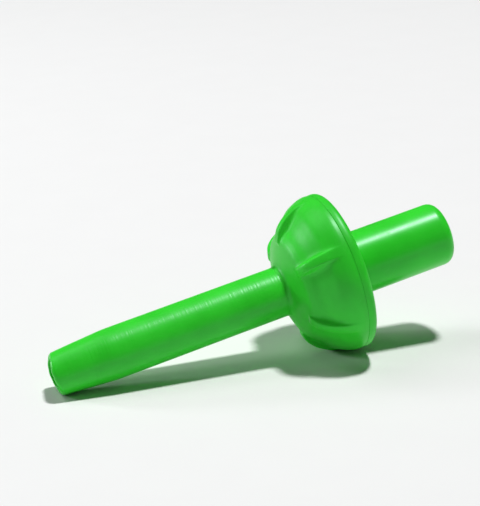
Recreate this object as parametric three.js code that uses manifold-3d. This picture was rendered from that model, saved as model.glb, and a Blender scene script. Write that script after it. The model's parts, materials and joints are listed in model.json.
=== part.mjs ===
// Flanged green plastic breathing tube with a non-return valve inside its flange.
// Millimetres, +Z up. The part lies on a floor: the tip and the flange rim touch it.
import * as THREE from 'three';
import { mergeVertices } from 'three/addons/utils/BufferGeometryUtils.js';
import Module from 'manifold-3d';

const wasm = await Module();
wasm.setup();

// ---- driving sizes -------------------------------------------------------
const rimRadius = 27.6;          // outside of the flange
const rearRadius = 11.0;         // 22 mm connector
const frontRadius = 8.65;        // long front tube
const tipRadius = 7.3;
const gap = 0.3;                 // clearance between neighbouring pieces
const sides = 48;                // facets round every turned piece

// ---- places along the axis, counted from the tip --------------------------
const tipEnd = 0.5;              // the middle of the slanting tip face
const tipRound = 0.75;
const tipRest = 1.7;             // where the tip touches the floor
const taperEnd = 20.2;
const neck = 83.4;               // where the front shell starts to flare
const lipStart = neck - 1.5;     // where the shell's thin lip closes round the tube
const tubeEnd = 90.3;
const gasketEnd = tubeEnd + 1.4;
const sleeveEnd = 93.7;
const seatStart = 94.0;
const seatEnd = 95.6;
const flapStart = seatEnd + gap;
const flapThick = 1.2;
const flapLift = 1.5;
const cageStart = flapStart + flapThick + flapLift + gap;
const cageEnd = cageStart + 1.4;
const rimStart = neck + 17.4;    // where the shell reaches its full radius
const shellEnd = neck + 19.3;
const plateInner = shellEnd + 1.8;
const plateBack = shellEnd + 3.1;
const rearEnd = 144.6;

// ---- radii inside -----------------------------------------------------------
const tubeBore = 6.5;
const tipBore = 5.2;
const socketBore = frontRadius;
const spigotRadius = frontRadius - gap;
const shoulderBore = 6.6;
const sleeveRadius = 11.0;
const cupRadius = 15.0;
const cupBore = 12.9;
const chamberBore = 10.9;
const rearBoreInner = 7.3;
const rearBoreMouth = 7.5;
const bandBore = 25.6;
const spigotOuter = bandBore - gap;
const spigotInner = 23.3;

// ---- ribs on the front shell ----------------------------------------------
const ribCount = 6;
const ribWidth = 3.8;
const firstRib = -5.3;           // degrees from straight up, towards -Y

// ---- the slanting cut at the tip --------------------------------------------
const tipSlant = 0.08;           // millimetres along the axis for each millimetre across it
const tipSlantReach = 8;         // how far behind the tip face the tube is still drawn askew
const longSide = 68;             // degrees from straight up, towards -Y, where the tip is longest

// ---- materials --------------------------------------------------------------
function plastic(hex, roughness) {
  return new THREE.MeshStandardMaterial({ color: hex, roughness, metalness: 0 });
}
const tubeGreen = plastic('#3cc847', 0.42);
const shellGreen = plastic('#33bd3e', 0.48);
const rearGreen = plastic('#37cf41', 0.3);
const clearSilicone = plastic('#d7ddd6', 0.55);
const whitePlastic = plastic('#e8ebe6', 0.5);

// ---- helpers ------------------------------------------------------------------
// A point of a turned profile: distance along the axis, then radius.
function at(along, radius) {
  return new THREE.Vector2(radius, along);
}

function arc(along, radius, size, from, to, steps) {
  const points = [];
  for (let i = 0; i <= steps; i += 1) {
    const angle = THREE.MathUtils.degToRad(from + (to - from) * i / steps);
    points.push(at(along + size * Math.cos(angle), radius + size * Math.sin(angle)));
  }
  return points;
}

// Turns a closed profile about the axis. The axis becomes +X, with a flat facet at the bottom.
function turned(profile) {
  const ring = THREE.ShapeUtils.isClockWise(profile) ? [...profile].reverse() : [...profile];
  ring.push(ring[0].clone());
  const geometry = new THREE.LatheGeometry(ring, sides);
  geometry.rotateY(Math.PI / sides);
  geometry.rotateZ(-Math.PI / 2);
  return plain(geometry);
}

function plain(geometry) {
  const bare = new THREE.BufferGeometry();
  bare.setAttribute('position', geometry.getAttribute('position').clone());
  if (geometry.index) {
    bare.setIndex(geometry.index.clone());
  }
  return mergeVertices(bare, 1e-4);
}

function toManifold(geometry) {
  const merged = plain(geometry);
  const mesh = new wasm.Mesh({
    numProp: 3,
    vertProperties: new Float32Array(merged.getAttribute('position').array),
    triVerts: new Uint32Array(merged.index.array),
  });
  return new wasm.Manifold(mesh);
}

function fromManifold(solid) {
  const mesh = solid.getMesh();
  const geometry = new THREE.BufferGeometry();
  geometry.setAttribute('position', new THREE.BufferAttribute(mesh.vertProperties, 3));
  geometry.setIndex(new THREE.BufferAttribute(mesh.triVerts, 1));
  return geometry;
}

// A flat outline drawn across the axis, given thickness along it from `start` to `end`.
function slab(shape, start, end) {
  const geometry = new THREE.ExtrudeGeometry(shape, {
    depth: end - start, bevelEnabled: false, curveSegments: sides / 2,
  });
  geometry.rotateY(Math.PI / 2);
  geometry.translate(start, 0, 0);
  return plain(geometry);
}

function named(name, geometry, material) {
  geometry.computeVertexNormals();
  const mesh = new THREE.Mesh(geometry, material);
  mesh.name = name;
  return mesh;
}

// ---- front tube -------------------------------------------------------------
function frontTube() {
  const profile = [
    at(tipEnd, tipBore),
    at(tipEnd, tipRadius - tipRound - 0.1),
    ...arc(tipEnd + tipRound, tipRadius - tipRound, tipRound, 160, 95, 3),
    at(taperEnd, frontRadius + 0.1),
    at(lipStart - gap, frontRadius),
    at(lipStart - gap, spigotRadius),
    at(tubeEnd - 0.6, spigotRadius),
    at(tubeEnd, spigotRadius - 0.5),
    at(tubeEnd, tubeBore),
    at(taperEnd, tubeBore),
  ];
  return named('front_tube', slanted(turned(profile)), tubeGreen);
}

// The tip face leans: the tube is longest at `longSide` and shortest opposite it.
function slanted(geometry) {
  const position = geometry.getAttribute('position');
  const turn = THREE.MathUtils.degToRad(longSide);
  for (let i = 0; i < position.count; i += 1) {
    const along = position.getX(i);
    const fade = Math.max(0, 1 - (along - tipEnd) / tipSlantReach);
    const across = position.getZ(i) * Math.cos(turn) - position.getY(i) * Math.sin(turn);
    position.setX(i, along - tipSlant * across * fade);
  }
  return geometry;
}

// ---- front shell --------------------------------------------------------------
// Radius fractions of the rim against distance behind the neck.
function shellCurve(fractions, distances) {
  const points = fractions.map((f, i) => new THREE.Vector2(distances[i], f * rimRadius));
  return new THREE.SplineCurve(points).getPoints(10);
}

function shellBody() {
  const face = shellCurve(
    [0.324, 0.342, 0.388, 0.47, 0.609, 0.752, 0.846, 0.922, 0.973, 0.991, 1],
    [-1.5, -0.3, 0.4, 1.3, 2.9, 6.4, 9.1, 11.8, 14.7, 16.2, rimStart - neck],
  );
  const outside = face.map((p) => at(neck + p.x, p.y));
  const inside = shellCurve([0.43, 0.56, 0.7, 0.84, 0.845], [4.0, 6.2, 9.8, 15.2, 17.7]);
  const hollow = inside.map((p) => at(neck + p.x, p.y)).reverse();
  const profile = [
    at(lipStart, socketBore),
    ...outside,
    at(shellEnd, rimRadius),
    at(shellEnd, spigotOuter),
    at(shellEnd + 0.6, spigotOuter),
    at(shellEnd + 0.6, spigotInner),
    ...hollow.slice(1),
    at(neck + 4.0, sleeveRadius),
    at(sleeveEnd, sleeveRadius),
    at(sleeveEnd, shoulderBore),
    at(gasketEnd + gap, shoulderBore),
    at(gasketEnd + gap, socketBore),
  ];
  return turned(profile);
}

function rib(degrees) {
  const crest = shellCurve(
    [0.623, 0.662, 0.757, 0.848, 0.92, 0.957, 0.978, 0.99],
    [2.2, 2.6, 4.15, 6.4, 9.2, 11.4, 13.9, 16.4],
  );
  const shape = new THREE.Shape();
  shape.moveTo(4.6, 0.575 * rimRadius);
  shape.lineTo(3.0, 0.575 * rimRadius);
  shape.lineTo(2.4, 0.587 * rimRadius);
  crest.forEach((p) => shape.lineTo(p.x, p.y));
  shape.lineTo(17.2, 0.98 * rimRadius);
  shape.lineTo(17.2, 0.93 * rimRadius);
  shape.lineTo(9.0, 0.75 * rimRadius);
  shape.closePath();
  const geometry = new THREE.ExtrudeGeometry(shape, { depth: ribWidth, bevelEnabled: false });
  geometry.translate(neck, 0, -ribWidth / 2);
  // The outline's radius runs along +Y: turn it up to +Z, then round the axis.
  geometry.rotateX(Math.PI / 2 + THREE.MathUtils.degToRad(degrees));
  return geometry;
}

function frontShell() {
  let solid = toManifold(shellBody());
  for (let i = 0; i < ribCount; i += 1) {
    solid = solid.add(toManifold(rib(firstRib + i * 360 / ribCount)));
  }
  return named('front_shell', fromManifold(solid), shellGreen);
}

// ---- back plate and rear tube -----------------------------------------------
function backPlate() {
  const start = shellEnd + gap;
  const round = 1.8;
  const profile = [
    at(start, spigotOuter + gap),
    at(start, rimRadius),
    ...arc(plateBack - round, rimRadius - round, round, 90, 0, 4),
    at(plateBack, rearRadius + 0.1 + gap),
    at(plateInner, rearRadius + 0.1 + gap),
    at(plateInner, spigotOuter + gap),
  ];
  return named('back_plate', turned(profile), shellGreen);
}

function rearTube() {
  const round = 2.8;
  const profile = [
    at(seatStart, cupBore),
    at(seatStart, cupRadius),
    at(plateInner - gap, cupRadius),
    at(plateInner - gap, rearRadius + 0.1),
    ...arc(rearEnd - round, rearRadius - round, round, 90, 0, 5),
    at(rearEnd, rearBoreMouth),
    at(cageEnd + gap, rearBoreInner),
    at(cageEnd + gap, chamberBore),
    at(flapStart, chamberBore),
    at(flapStart, cupBore),
  ];
  return named('rear_tube', turned(profile), rearGreen);
}

// ---- valve ----------------------------------------------------------------------
// A wheel: outer ring, hub and spokes, with see-through windows between them.
function wheel(outer, ringInner, hubOuter, hubHole, spokes, spokeWidth) {
  const shape = new THREE.Shape();
  shape.absarc(0, 0, outer, 0, 2 * Math.PI);
  for (let i = 0; i < spokes; i += 1) {
    const from = 2 * Math.PI * i / spokes;
    const to = 2 * Math.PI * (i + 1) / spokes;
    const outerTrim = Math.asin(spokeWidth / 2 / ringInner);
    const innerTrim = Math.asin(spokeWidth / 2 / hubOuter);
    const window = new THREE.Path();
    window.absarc(0, 0, ringInner, from + outerTrim, to - outerTrim, false);
    window.absarc(0, 0, hubOuter, to - innerTrim, from + innerTrim, true);
    window.closePath();
    shape.holes.push(window);
  }
  if (hubHole > 0) {
    const hole = new THREE.Path();
    hole.absarc(0, 0, hubHole, 0, 2 * Math.PI);
    shape.holes.push(hole);
  }
  return shape;
}

function valveSeat() {
  const shape = wheel(cupBore - gap, 7.6, 3.2, 1.8, 6, 1.4);
  return named('valve_seat', slab(shape, seatStart, seatEnd), whitePlastic);
}

function valveFlap() {
  const bulbEnd = seatStart - flapLift - 0.2;
  const profile = [
    at(bulbEnd - 1.6, 0),
    at(bulbEnd - 1.3, 1.6),
    at(bulbEnd - 0.3, 2.5),
    at(bulbEnd, 2.4),
    at(bulbEnd, 1.5),
    at(flapStart, 1.5),
    at(flapStart, 9.4),
    at(flapStart + 0.5, 9.6),
    at(flapStart + flapThick - 0.5, 9.2),
    at(flapStart + flapThick, 5.0),
    at(flapStart + flapThick, 0),
  ];
  return named('valve_flap', turned(profile), clearSilicone);
}

function flapCage() {
  const shape = wheel(chamberBore - gap, 8.4, 2.6, 0, 3, 1.6);
  return named('flap_cage', slab(shape, cageStart, cageEnd), whitePlastic);
}

// ---- seals ------------------------------------------------------------------------
function flatRing(name, start, end, inner, outer) {
  const profile = [at(start, inner), at(start, outer), at(end, outer), at(end, inner)];
  return named(name, turned(profile), clearSilicone);
}

// ---- assembly -----------------------------------------------------------------------
function pieces() {
  return [
    frontTube(),
    flatRing('neck_gasket', tubeEnd + gap, gasketEnd, tubeBore + 0.3, socketBore - gap),
    frontShell(),
    flatRing('rim_seal', shellEnd + 0.6 + gap, plateInner - gap, spigotInner + 0.2, spigotOuter - 0.2),
    backPlate(),
    rearTube(),
    valveSeat(),
    valveFlap(),
    flapCage(),
  ];
}

// Leaning the part about Y until the tip and the flange rim stand on one level.
function lean() {
  return Math.atan2(rimRadius - tipRadius, rimStart - tipRest);
}

const root = new THREE.Group();
root.name = 'flanged_breathing_tube';
const leaning = new THREE.Group();
leaning.name = 'leaning';
leaning.rotation.y = -lean();
pieces().forEach((mesh) => leaning.add(mesh));
root.add(leaning);

// Origin: the middle of the footprint, on the floor.
root.updateMatrixWorld(true);
const box = new THREE.Box3().setFromObject(root, true);
leaning.position.set(-(box.min.x + box.max.x) / 2, -(box.min.y + box.max.y) / 2, -box.min.z);
root.updateMatrixWorld(true);

export default root;
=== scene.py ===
"""Looks of the flanged green breathing tube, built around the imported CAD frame.

Every piece but the valve's two wheels is turned or swept here about one leaning axis. Sizes are in
millimetres along that axis (counted from the tapered tip) and out from it; `place` turns them into
metres in the CAD frame. The two wheels are the CAD's own, with their edges rounded.
"""
import json
import math

import bpy
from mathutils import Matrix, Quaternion, Vector


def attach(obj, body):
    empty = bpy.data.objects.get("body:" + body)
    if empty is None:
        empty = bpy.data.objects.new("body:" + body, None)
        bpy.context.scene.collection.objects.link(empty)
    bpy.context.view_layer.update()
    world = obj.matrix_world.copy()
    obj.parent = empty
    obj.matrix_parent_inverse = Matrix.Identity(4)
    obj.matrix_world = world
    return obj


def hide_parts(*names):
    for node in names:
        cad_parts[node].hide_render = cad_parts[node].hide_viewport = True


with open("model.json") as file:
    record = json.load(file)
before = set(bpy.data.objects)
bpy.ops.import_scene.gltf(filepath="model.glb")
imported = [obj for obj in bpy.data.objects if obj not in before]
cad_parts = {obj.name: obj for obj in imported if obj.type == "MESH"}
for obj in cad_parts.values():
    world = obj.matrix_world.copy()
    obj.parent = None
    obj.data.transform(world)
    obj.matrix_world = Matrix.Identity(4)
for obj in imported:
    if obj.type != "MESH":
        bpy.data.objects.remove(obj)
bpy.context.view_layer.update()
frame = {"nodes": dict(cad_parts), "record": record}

# ---- driving sizes: outside radii, then places along the axis ------------------------------------
RIM = 27.6
FRONT = 8.65
TIP = 7.3
REAR = 11.0

TIP_END = 0.2
NECK = 83.4
LIP_START = 81.9
TAPER_END = 20.2
TUBE_END = 90.3
SLEEVE_END = 93.7
SOCKET_END = 92.0
SEAT_START = 94.0
FLAP_START = 95.9
FLAP_THICK = 1.2
CAGE_END = 100.3
SHELL_END = 102.4
PLATE_INNER = 104.5
PLATE_BACK = 105.9
REAR_END = 144.6

GAP = 0.3               # clearance between two pieces inside
HAIRLINE = 0.03         # the joint that shows between two closed pieces
CROWN = 0.09            # how far the two halves of the rim fall away towards their joint

# ---- radii inside ---------------------------------------------------------------------------------
TIP_BORE = 5.6
TUBE_BORE = 6.5
SPIGOT = FRONT - GAP    # the end of the front tube, inside the neck
SHOULDER_BORE = 6.6
SLEEVE = 11.0
BAND_BORE = 25.6
RIM_SPIGOT = BAND_BORE - GAP
DOME_BORE = 23.3
CUP = 15.0
CUP_BORE = 12.9
CHAMBER_BORE = 10.9
REAR_BORE = 7.3
MOUTH_BORE = 7.5

# ---- the cut at the tip ----------------------------------------------------------------------------
TIP_LEAN = 0.05         # millimetres along for each millimetre out
TIP_LONG_SIDE = math.radians(100)
TIP_BOW = 0.58          # how far the cut bows, twice round
TIP_BOW_TURN = math.radians(22)
TIP_FADE = 8            # how far behind the cut the tube is still drawn askew
TIP_WANDER_FADE = 2

# ---- ribs on the front shell -----------------------------------------------------------------------
RIBS = 6
RIB_PITCH = 2 * math.pi / RIBS
FIRST_RIB = math.radians(-5.3)
RIB_FOOT = 4.2          # half the width of a rib where it runs out into the dome
RIB_START = 15.4        # radius at which a rib's front end leaves the dome
RIB_RISE = 1.7          # how far out it takes to reach its full height
COLUMNS_MEET = 12.0     # inside this radius the mesh columns of a rib draw together
POCKET_COLUMNS = 17     # mesh columns between two ribs

WHEEL_EDGE = 0.12       # rounding on the edges of the seat and the cage

FINE = 256              # sides of a large turned piece
SMALL = 128             # sides of a hidden turned piece
ROUND_STEPS = 6         # steps round each rounded corner of a profile

# ---- the axis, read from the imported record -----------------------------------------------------
mounts = {m["name"]: m for m in frame["record"]["mounts"]}
AXIS = Vector(mounts["connector_end"]["axis"]).normalized()
UP = Vector((-AXIS.z, 0, AXIS.x))
SIDE = Vector((0, -1, 0))
END_POINT = Vector(mounts["connector_end"]["pos_m"])
MOUTH_MIDDLE = 7.85     # where that mount sits on the ring round the connector's mouth
ORIGIN = END_POINT - (AXIS * REAR_END + UP * MOUTH_MIDDLE) * 0.001


def place(along, out, angle):
    """A point `along` the axis and `out` from it, at an angle from straight up towards the camera."""
    ring = UP * math.cos(angle) + SIDE * math.sin(angle)
    return ORIGIN + (AXIS * along + ring * out) * 0.001


# ---- profiles -----------------------------------------------------------------------------------
def rounded(corners):
    """Points along a profile of (along, out, radius) corners, each corner rounded by its radius."""
    count = len(corners)
    points = []
    for i, (s, r, radius) in enumerate(corners):
        here = Vector((s, r))
        if radius <= 0:
            points.append(here)
            continue
        before = Vector(corners[(i - 1) % count][:2])
        after = Vector(corners[(i + 1) % count][:2])
        a = (before - here).normalized()
        b = (after - here).normalized()
        half = a.angle(b) / 2
        reach = radius / math.tan(half)
        centre = here + (a + b).normalized() * (radius / math.sin(half))
        start = here + a * reach
        end = here + b * reach
        u = start - centre
        turn = u.angle_signed(end - centre)
        for k in range(ROUND_STEPS + 1):
            t = -turn * k / ROUND_STEPS
            spun = Vector((u.x * math.cos(t) - u.y * math.sin(t), u.x * math.sin(t) + u.y * math.cos(t)))
            points.append(centre + spun)
    return points


def filled(points, longest=1.5, closed=True):
    """The same profile with its long straight runs divided, and a short step beside each corner."""
    out = []
    count = len(points)
    last = count if closed else count - 1
    for i in range(last):
        a = points[i]
        b = points[(i + 1) % count]
        out.append(a)
        length = (b - a).length
        if length <= longest:
            continue
        edge = min(0.12, length / 4)
        parts = max(1, math.ceil((length - 2 * edge) / longest))
        for k in range(parts + 1):
            out.append(a + (b - a) * ((edge + (length - 2 * edge) * k / parts) / length))
    if not closed:
        out.append(points[-1])
    return out


def spline(knots, steps):
    """A smooth curve through (along, out) knots, in so many steps from each knot to the next."""
    pts = [Vector(k) for k in knots]
    pts = [pts[0] * 2 - pts[1]] + pts + [pts[-1] * 2 - pts[-2]]
    out = []
    for i in range(1, len(pts) - 2):
        p0, p1, p2, p3 = pts[i - 1:i + 3]
        for k in range(steps):
            t = k / steps
            a = p1 * 2 + (p2 - p0) * t
            b = (p0 * 2 - p1 * 5 + p2 * 4 - p3) * t * t
            c = (p1 * 3 - p0 - p2 * 3 + p3) * t * t * t
            out.append((a + b + c) / 2)
    out.append(pts[-2])
    return out


# ---- meshes ---------------------------------------------------------------------------------------
def make_object(name, vertices, faces):
    mesh = bpy.data.meshes.new(name)
    mesh.from_pydata(vertices, [], faces)
    mesh.validate()
    mesh.shade_smooth()
    piece = bpy.data.objects.new(name, mesh)
    bpy.context.scene.collection.objects.link(piece)
    return piece


def twice_area(profile):
    """Twice the profile's area, with a sign that says which way round its points run."""
    total = 0
    for a, b in zip(profile, profile[1:] + profile[:1]):
        total += a.x * b.y - b.x * a.y
    return total


def grid_faces(rows, columns, flip):
    """Faces of a closed ring of rows, each row a closed ring of columns."""
    faces = []
    for j in range(rows):
        k = (j + 1) % rows
        for i in range(columns):
            n = (i + 1) % columns
            quad = (j * columns + i, j * columns + n, k * columns + n, k * columns + i)
            faces.append(quad[::-1] if flip else quad)
    return faces


def turned_ring(name, corners, sides=FINE, shape=None):
    """A hollow turned piece: its closed profile never meets the axis."""
    profile = filled(rounded(corners))
    vertices = []
    for p in profile:
        for i in range(sides):
            angle = 2 * math.pi * i / sides
            s, r = shape(p.x, p.y, angle) if shape else (p.x, p.y)
            vertices.append(place(s, r, angle))
    return make_object(name, vertices, grid_faces(len(profile), sides, twice_area(profile) > 0))


def turned_solid(name, corners):
    """A solid turned piece: its open profile starts and ends on the axis."""
    profile = filled(rounded(corners), closed=False)
    inner = profile[1:-1]
    vertices = [place(p.x, p.y, 2 * math.pi * i / SMALL) for p in inner for i in range(SMALL)]
    flip = twice_area(profile) > 0
    top = (len(inner) - 1) * SMALL
    faces = grid_faces(len(inner), SMALL, flip)[:top]
    # A fan round each end point closes the piece, in place of the grid's last row of faces.
    first = len(vertices)
    vertices += [place(profile[0].x, 0, 0), place(profile[-1].x, 0, 0)]
    for i in range(SMALL):
        n = (i + 1) % SMALL
        faces.append((first, i, n) if flip else (first, n, i))
        faces.append((first + 1, top + n, top + i) if flip else (first + 1, top + i, top + n))
    return make_object(name, vertices, faces)


# ---- the tapered front tube --------------------------------------------------------------------
def cut_tip(s, r, angle):
    """The tip is cut aslant, longest on the camera's side, and its edge bows and wanders a little."""
    fade = max(0.0, 1 - (s - TIP_END) / TIP_FADE)
    slant = TIP_BOW * math.cos(2 * (angle + TIP_BOW_TURN)) - TIP_LEAN * r * math.cos(angle - TIP_LONG_SIDE)
    near = max(0.0, 1 - (s - TIP_END) / TIP_WANDER_FADE)
    wander = 0.09 * math.sin(3 * angle + 2) + 0.04 * math.sin(11 * angle)
    return s + fade * slant + near * wander, r + near * 0.05 * math.sin(7 * angle + 1)


def front_tube():
    """The long tube, from its tapered tip to the thinner end that sits inside the neck."""
    joint = LIP_START - HAIRLINE
    corners = [
        (TIP_END, TIP_BORE, 0.45),
        (TIP_END, TIP, 1.3),
        (TAPER_END, FRONT + 0.1, 30),
        (joint, FRONT, 0.03),
        (joint, SPIGOT, 0),
        (TUBE_END, SPIGOT, 0.5),
        (TUBE_END, TUBE_BORE, 0.3),
        (TAPER_END, TUBE_BORE, 20),
    ]
    return turned_ring("front_tube_fine", corners, shape=cut_tip)


# ---- the ribbed front shell ----------------------------------------------------------------------
# Distance behind the neck against radius: the bare dome, the crest of a rib on it, and the hollow.
DOME = [(-1.5, 8.66), (-0.9, 8.8), (-0.35, 9.2), (0.1, 9.9), (0.55, 10.9), (1.3, 12.9), (2.9, 16.8),
        (4.5, 18.7), (6.7, 20.55), (9.3, 23.2), (11.8, 25.45), (14.7, 26.85), (16.2, 27.36),
        (17.3, 27.57), (18.0, 27.6), (18.55, 27.56)]
CREST = [(1.9, 15.0), (2.05, 16.2), (2.2, 17.3), (2.6, 18.6), (3.8, 21.1), (6.2, 23.5), (9.2, 25.4),
         (11.4, 26.4), (13.9, 27.0), (16.0, 27.42), (17.2, 27.58), (18.0, 27.6)]
HOLLOW = [(17.7, 23.3), (15.2, 23.1), (9.8, 19.3), (6.2, 15.5), (4.2, 12.0)]


def radius_to_height(knots):
    """A lookup from radius to distance behind the neck along a smooth curve."""
    curve = spline(knots, 16)

    def height(radius):
        for a, b in zip(curve, curve[1:]):
            if a.y <= radius <= b.y:
                return a.x + (b.x - a.x) * (radius - a.y) / max(b.y - a.y, 1e-6)
        return curve[0].x if radius < curve[0].y else curve[-1].x

    return height


def smooth(t):
    """A step from 0 to 1 that starts and ends level."""
    t = min(max(t, 0.0), 1.0)
    return t * t * (3 - 2 * t)


def rib_section():
    """Half a rib's cross-section: (distance from its middle, share of its height)."""
    top = [(0.0, 1.0), (0.6, 0.995), (1.0, 0.98), (1.3, 0.95)]
    edge = [(1.48, 0.9), (1.6, 0.82), (1.7, 0.72), (1.79, 0.61), (1.88, 0.5)]
    foot = [(1.99, 0.39), (2.15, 0.29), (2.37, 0.2), (2.67, 0.125), (3.05, 0.065), (3.55, 0.022)]
    return top + edge + foot + [(RIB_FOOT, 0.0)]


def shell_columns():
    """Columns round the shell: (rib's angle, distance from its middle, share of pocket, of height)."""
    half = rib_section()
    columns = []
    for n in range(RIBS):
        rib = FIRST_RIB + RIB_PITCH * n
        columns += [(rib, d, 0.0, height) for d, height in half]
        for k in range(POCKET_COLUMNS):
            columns.append((rib, RIB_FOOT, (k + 1) / (POCKET_COLUMNS + 1), 0.0))
        columns += [(rib + RIB_PITCH, -d, 0.0, height) for d, height in reversed(half[1:])]
    return columns


def column_angle(column, radius):
    """The angle of a column at a radius: a rib keeps its width, and the pockets share the rest."""
    rib, d, pocket, _ = column
    reach = max(radius, COLUMNS_MEET)
    foot = math.asin(RIB_FOOT / reach)
    return rib + math.asin(d / reach) + (RIB_PITCH - 2 * foot) * pocket


def shell_profile():
    """The shell's closed profile. The first points are the dome, where the ribs stand."""
    dome = [Vector((NECK + p.x, p.y)) for p in spline(DOME, 14)]
    joint = rounded([
        (SHELL_END - 0.25, RIM - CROWN * 0.7, 0),
        (SHELL_END, RIM - CROWN, 0.15),
        (SHELL_END, RIM_SPIGOT, 0),
        (SHELL_END + 0.6, RIM_SPIGOT, 0.15),
        (SHELL_END + 0.6, DOME_BORE, 0.15),
    ])
    hollow = [Vector((NECK + p.x, p.y)) for p in spline(HOLLOW, 6)]
    socket = rounded([
        (NECK + 4.0, SLEEVE, 0.3),
        (SLEEVE_END, SLEEVE, 0.2),
        (SLEEVE_END, SHOULDER_BORE, 0.2),
        (SOCKET_END, SHOULDER_BORE, 0.1),
        (SOCKET_END, FRONT, 0.1),
        (LIP_START, SPIGOT + HAIRLINE, 0),
    ])
    tail = filled(joint + hollow + socket, 2.0, closed=False)
    return dome, tail


def front_shell():
    """The dome with its ribs, its hollow and the socket for the front tube."""
    base = radius_to_height(DOME)
    crest = radius_to_height(CREST)
    dome, tail = shell_profile()
    columns = shell_columns()
    profile = dome + tail
    vertices = []
    for j, p in enumerate(profile):
        rise = 0.0
        if j < len(dome) and p.y > RIB_START:
            start = smooth((p.y - RIB_START) / RIB_RISE)
            rise = max(0.0, base(p.y) - crest(p.y)) * start
        for column in columns:
            height = column[3]
            vertices.append(place(p.x - rise * height, p.y, column_angle(column, p.y)))
    faces = grid_faces(len(profile), len(columns), twice_area(profile) > 0)
    return make_object("front_shell_fine", vertices, faces)


# ---- the back half ---------------------------------------------------------------------------------
def back_plate():
    """The flat back wall and the rim band that meets the front shell."""
    start = SHELL_END + HAIRLINE
    corners = [
        (start, BAND_BORE, 0.1),
        (start, RIM - CROWN, 0.2),
        (start + 1.1, RIM, 2.0),
        (PLATE_BACK, RIM, 2.0),
        (PLATE_BACK, REAR + 0.4, 0.25),
        (PLATE_INNER, REAR + 0.4, 0.1),
        (PLATE_INNER, BAND_BORE, 0.2),
    ]
    return turned_ring("back_plate_fine", corners)


def rear_tube():
    """The connector tube, with the cup on its front end that holds the seat, the flap and the cage."""
    corners = [
        (SEAT_START, CUP_BORE, 0.15),
        (SEAT_START, CUP, 0.4),
        (PLATE_INNER - GAP, CUP, 0.3),
        (PLATE_INNER - GAP, REAR + 0.1, 0.1),
        (REAR_END, REAR, 3.4),
        (REAR_END, MOUTH_BORE, 0.35),
        (CAGE_END + GAP, REAR_BORE, 0.3),
        (CAGE_END + GAP, CHAMBER_BORE, 0.1),
        (FLAP_START, CHAMBER_BORE, 0.1),
        (FLAP_START, CUP_BORE, 0.1),
    ]
    return turned_ring("rear_tube_fine", corners)


# ---- valve and seals -------------------------------------------------------------------------------
def valve_flap():
    """A thin disc on a stem, with a bulb in front of the seat that holds it in."""
    bulb = SEAT_START - 1.7
    corners = [
        (bulb - 1.6, 0, 0),
        (bulb - 1.6, 1.3, 0.6),
        (bulb, 2.5, 0.4),
        (bulb, 1.5, 0.1),
        (FLAP_START, 1.5, 0.3),
        (FLAP_START, 9.6, 0.12),
        (FLAP_START + 0.6, 9.6, 0.3),
        (FLAP_START + FLAP_THICK, 5.0, 2.0),
        (FLAP_START + FLAP_THICK, 0, 0),
    ]
    return turned_solid("valve_flap_fine", corners)


def flat_ring(name, start, end, inner, outer):
    """A flat seal with softened edges."""
    edge = min(0.18, (end - start) / 3)
    corners = [(start, inner, edge), (start, outer, edge), (end, outer, edge), (end, inner, edge)]
    return turned_ring(name, corners, SMALL)


def bevelled_copy(node):
    """A CAD wheel with its hard edges rounded off, as a moulded piece has them."""
    source = frame["nodes"][node]
    piece = bpy.data.objects.new(node + "_fine", source.data.copy())
    piece.data.materials.clear()
    bpy.context.scene.collection.objects.link(piece)
    edge = piece.modifiers.new("edge", "BEVEL")
    edge.width = WHEEL_EDGE * 0.001
    edge.segments = 3
    edge.limit_method = "ANGLE"
    edge.angle_limit = math.radians(40)
    return piece


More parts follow.
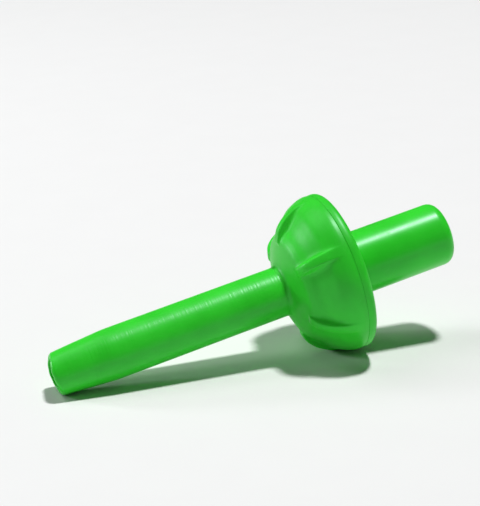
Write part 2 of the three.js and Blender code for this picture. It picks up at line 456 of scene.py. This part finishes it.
# ---- materials ---------------------------------------------------------------------------------------
class Nodes:
    """A short way to write a material's nodes."""

    def __init__(self, name):
        self.material = bpy.data.materials.new(name)
        self.material.use_nodes = True
        self.tree = self.material.node_tree
        self.shader = self.tree.nodes["Principled BSDF"]
        self.coords = self.add("ShaderNodeTexCoord").outputs["Object"]

    def add(self, kind, **settings):
        node = self.tree.nodes.new(kind)
        for key, value in settings.items():
            setattr(node, key, value)
        return node

    def link(self, output, socket):
        self.tree.links.new(output, socket)

    def noise(self, scale, detail, rough=0.55, coords=None):
        node = self.add("ShaderNodeTexNoise")
        node.inputs["Scale"].default_value = scale
        node.inputs["Detail"].default_value = detail
        node.inputs["Roughness"].default_value = rough
        self.link(coords or self.coords, node.inputs["Vector"])
        return node.outputs["Fac"]

    def spread(self, value, low, high, out_low=0.0, out_high=1.0):
        """The value moved from one range to another and kept inside it."""
        node = self.add("ShaderNodeMapRange")
        node.inputs["From Min"].default_value = low
        node.inputs["From Max"].default_value = high
        node.inputs["To Min"].default_value = out_low
        node.inputs["To Max"].default_value = out_high
        self.link(value, node.inputs["Value"])
        return node.outputs["Result"]

    def mix(self, amount, a, b):
        node = self.add("ShaderNodeMix", data_type="RGBA")
        self.link(amount, node.inputs["Factor"])
        for value, socket in ((a, node.inputs[6]), (b, node.inputs[7])):
            if isinstance(value, tuple):
                socket.default_value = (*value, 1)
            else:
                self.link(value, socket)
        return node.outputs[2]

    def math(self, operation, a, b):
        node = self.add("ShaderNodeMath", operation=operation)
        for value, socket in ((a, node.inputs[0]), (b, node.inputs[1])):
            if isinstance(value, (int, float)):
                socket.default_value = value
            else:
                self.link(value, socket)
        return node.outputs["Value"]

    def along_axis(self, squeeze):
        """Coordinates that change along the part's axis and hardly at all around it."""
        dot = self.add("ShaderNodeVectorMath", operation="DOT_PRODUCT")
        dot.inputs[1].default_value = AXIS
        self.link(self.coords, dot.inputs[0])
        join = self.add("ShaderNodeCombineXYZ")
        self.link(dot.outputs["Value"], join.inputs["X"])
        small = self.add("ShaderNodeVectorMath", operation="SCALE")
        small.inputs["Scale"].default_value = squeeze
        self.link(self.coords, small.inputs[0])
        total = self.add("ShaderNodeVectorMath", operation="ADD")
        self.link(join.outputs["Vector"], total.inputs[0])
        self.link(small.outputs["Vector"], total.inputs[1])
        return total.outputs["Vector"]

    def bump(self, height, strength, distance, below=None):
        node = self.add("ShaderNodeBump")
        node.inputs["Strength"].default_value = strength
        node.inputs["Distance"].default_value = distance
        self.link(height, node.inputs["Height"])
        if below:
            self.link(below, node.inputs["Normal"])
        return node.outputs["Normal"]


def green_plastic(name, colour, dark, gloss, rings=0.0, grain=0.1):
    """Moulded green plastic: flow marks, fine grain, faint turned rings and a few dull scuffs."""
    n = Nodes(name)
    flow = n.spread(n.noise(60, 4), 0.35, 0.65)
    speck = n.spread(n.noise(2600, 2), 0.3, 0.75)
    scuff = n.spread(n.noise(420, 6, 0.7), 0.60, 0.72)
    body = n.mix(flow, dark, colour)
    pale = tuple(min(1.0, c * 0.92 + 0.035) for c in colour)
    body = n.mix(n.math("MULTIPLY", scuff, 0.35), body, pale)
    n.link(body, n.shader.inputs["Base Color"])
    rough = n.spread(flow, 0, 1, gloss - 0.025, gloss + 0.025)
    rough = n.math("ADD", rough, n.math("MULTIPLY", scuff, 0.12))
    rough = n.math("ADD", rough, n.math("MULTIPLY", speck, 0.04))
    n.link(rough, n.shader.inputs["Roughness"])
    normal = n.bump(n.noise(2600, 3), grain, 0.00004)
    normal = n.bump(n.noise(150, 2), 0.12, 0.0002, normal)
    if rings:
        ring = n.noise(1500, 2, 0.5, n.along_axis(0.03))
        normal = n.bump(ring, rings, 0.00006, normal)
    n.link(normal, n.shader.inputs["Normal"])
    n.shader.inputs["Subsurface Weight"].default_value = 0.25
    n.shader.inputs["Subsurface Radius"].default_value = (0.25, 1.0, 0.3)
    n.shader.inputs["Subsurface Scale"].default_value = 0.0025
    n.shader.inputs["IOR"].default_value = 1.42
    n.shader.inputs["Specular Tint"].default_value = (0.76, 1.0, 0.98, 1)
    return n.material


def pale_plastic(name, colour, gloss, soft):
    """White plastic or clear silicone: slightly cloudy, with a fine matt grain."""
    n = Nodes(name)
    cloud = n.spread(n.noise(140, 4), 0.35, 0.65)
    dust = n.spread(n.noise(900, 5, 0.7), 0.62, 0.75)
    darker = tuple(c * 0.88 for c in colour)
    body = n.mix(cloud, darker, colour)
    body = n.mix(n.math("MULTIPLY", dust, 0.5), body, tuple(c * 0.75 for c in colour))
    n.link(body, n.shader.inputs["Base Color"])
    n.link(n.spread(cloud, 0, 1, gloss, gloss + 0.12), n.shader.inputs["Roughness"])
    n.link(n.bump(n.noise(1800, 3), 0.15, 0.00005), n.shader.inputs["Normal"])
    n.shader.inputs["Subsurface Weight"].default_value = soft
    n.shader.inputs["Subsurface Scale"].default_value = 0.002
    return n.material


# ---- building and dressing -------------------------------------------------------------------------
def dress(piece, node, body, material):
    """Gives a piece its material and the body it moves with, and hides the CAD node it stands for."""
    piece.data.materials.clear()
    piece.data.materials.append(material)
    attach(piece, body)
    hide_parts(node)


def build_pieces():
    tube_green = green_plastic("tube_green", (0.036, 0.70, 0.029), (0.028, 0.62, 0.022), 0.33, rings=1.0)
    shell_green = green_plastic("shell_green", (0.033, 0.69, 0.027), (0.026, 0.60, 0.021), 0.385)
    rear_green = green_plastic("rear_green", (0.034, 0.71, 0.028), (0.028, 0.64, 0.023), 0.30, grain=0.05)
    silicone = pale_plastic("silicone", (0.68, 0.72, 0.67), 0.45, 0.3)
    white = pale_plastic("white_plastic", (0.80, 0.83, 0.79), 0.35, 0.1)
    dress(front_tube(), "front_tube", "tube", tube_green)
    dress(front_shell(), "front_shell", "housing", shell_green)
    dress(back_plate(), "back_plate", "rear", shell_green)
    dress(rear_tube(), "rear_tube", "rear", rear_green)
    dress(valve_flap(), "valve_flap", "flap", silicone)
    dress(bevelled_copy("valve_seat"), "valve_seat", "rear", white)
    dress(bevelled_copy("flap_cage"), "flap_cage", "rear", white)
    gasket = flat_ring("neck_gasket_fine", TUBE_END + GAP, SOCKET_END - GAP, 6.8, SPIGOT)
    dress(gasket, "neck_gasket", "housing", silicone)
    seal = flat_ring("rim_seal_fine", SHELL_END + 0.9, PLATE_INNER - GAP, 23.5, 25.1)
    dress(seal, "rim_seal", "rear", silicone)


# ---- studio -------------------------------------------------------------------------------------------
def floor():
    """Plain white paper, 8 metres square."""
    mesh = bpy.data.meshes.new("floor")
    half = 4.0
    corners = [(-half, -half, 0), (half, -half, 0), (half, half, 0), (-half, half, 0)]
    mesh.from_pydata(corners, [], [(0, 1, 2, 3)])
    piece = bpy.data.objects.new("floor", mesh)
    bpy.context.scene.collection.objects.link(piece)
    n = Nodes("floor_paper")
    n.link(n.mix(n.noise(40, 3), (0.80, 0.80, 0.80), (0.82, 0.82, 0.82)), n.shader.inputs["Base Color"])
    n.shader.inputs["Roughness"].default_value = 0.8
    mesh.materials.append(n.material)


def area_light(name, spot, target, size, power, colour=(1, 1, 1)):
    lamp = bpy.data.lights.new(name, "AREA")
    lamp.shape = "RECTANGLE"
    lamp.size, lamp.size_y = size
    lamp.energy = power
    lamp.color = colour
    holder = bpy.data.objects.new(name, lamp)
    holder.location = spot
    holder.rotation_euler = (Vector(target) - Vector(spot)).to_track_quat("-Z", "Y").to_euler()
    bpy.context.scene.collection.objects.link(holder)


def studio():
    floor()
    world = bpy.data.worlds.new("studio")
    world.use_nodes = True
    world.node_tree.nodes["Background"].inputs["Color"].default_value = (1, 1, 1, 1)
    world.node_tree.nodes["Background"].inputs["Strength"].default_value = 0.07
    bpy.context.scene.world = world
    # The key throws the firm shadow, the window draws the long highlights and the sky fills in.
    area_light("key", (1.04, -0.02, 5.0), (0, 0, 0.02), (0.52, 0.52), 226.0)
    area_light("window", (-1.26, 0.86, 0.44), (0, 0, 0.03), (0.24, 0.28), 8.0, (0.94, 1.0, 1.0))
    area_light("sky", (-0.62, 0.55, 1.35), (0, 0, 0.03), (0.9, 0.8), 4.5)
    bpy.context.scene.view_settings.view_transform = "Standard"


def camera():
    """A long lens looking down on the near side, a little from the tip's end."""
    azimuth = math.radians(-18.70)
    elevation = math.radians(17.86)
    roll = math.radians(-2.70)
    distance = 0.589
    aim = Vector((-0.00416, 0, 0.03935))
    back = Vector((
        math.sin(azimuth) * math.cos(elevation),
        -math.cos(azimuth) * math.cos(elevation),
        math.sin(elevation),
    ))
    lens = bpy.data.cameras.new("camera")
    lens.lens = 125.2
    lens.sensor_width = 36
    eye = bpy.data.objects.new("camera", lens)
    eye.location = aim + back * distance
    level = (-back).to_track_quat("-Z", "Y")
    eye.rotation_euler = (level @ Quaternion((0, 0, 1), roll)).to_euler()
    bpy.context.scene.collection.objects.link(eye)
    bpy.context.scene.camera = eye


build_pieces()
studio()
camera()
